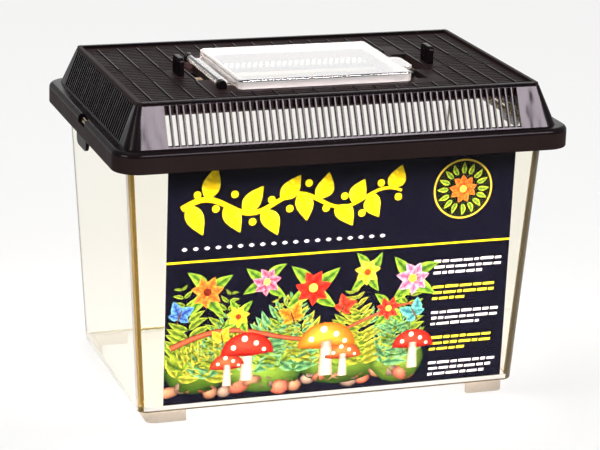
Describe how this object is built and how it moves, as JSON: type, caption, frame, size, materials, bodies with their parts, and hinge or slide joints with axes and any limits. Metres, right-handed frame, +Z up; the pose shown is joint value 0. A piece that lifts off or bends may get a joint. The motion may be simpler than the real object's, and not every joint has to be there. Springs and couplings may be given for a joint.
{
  "type": "plastic pet keeper",
  "caption": "Clear drafted plastic tank with a printed insert card, under a black slotted lift-off lid with a clear hinged feeding hatch, for keeping insects or other small pets.",
  "frame": {"origin": "on the ground, under the middle of the keeper's outline", "axes": "+X along the long side, towards the hatch's thumb tongue; the printed card faces -Y; +Z up"},
  "size_m": [0.23, 0.155, 0.1704],
  "materials": {
    "clear_tank": "clear moulded polystyrene, polished, faintly amber along its edges",
    "frosted_feet": "clear moulded polystyrene that looks pale grey edge-on",
    "printed_card": "coated card, printed on its front",
    "black_lid": "black moulded plastic, semi-gloss with polished rounded edges",
    "clear_hatch": "clear moulded polystyrene, polished"
  },
  "bodies": {
    "tank": {"tank_tub": "clear_tank", "corner_feet": "frosted_feet", "label_card": "printed_card"},
    "lid": {"lid_rim": "black_lid", "snap_tabs": "black_lid", "front_grille": "black_lid", "back_grille": "black_lid", "left_grille": "black_lid", "right_grille": "black_lid", "top_grille": "black_lid", "hinge_brackets": "black_lid", "hatch_catches": "black_lid", "handle_posts": "black_lid"},
    "hatch": {"hatch_cover": "clear_hatch"}
  },
  "joints": [
    {"name": "lid_lift", "type": "slide", "parent": "tank", "child": "lid", "axis": [0, 0, 1], "range_m": [0, 0.05]},
    {"name": "hatch_hinge", "type": "hinge", "parent": "lid", "child": "hatch", "pos_m": [-0.0532, -0.0065, 0.1637], "axis": [0, -1, 0], "range_deg": [0, 120]}
  ]
}
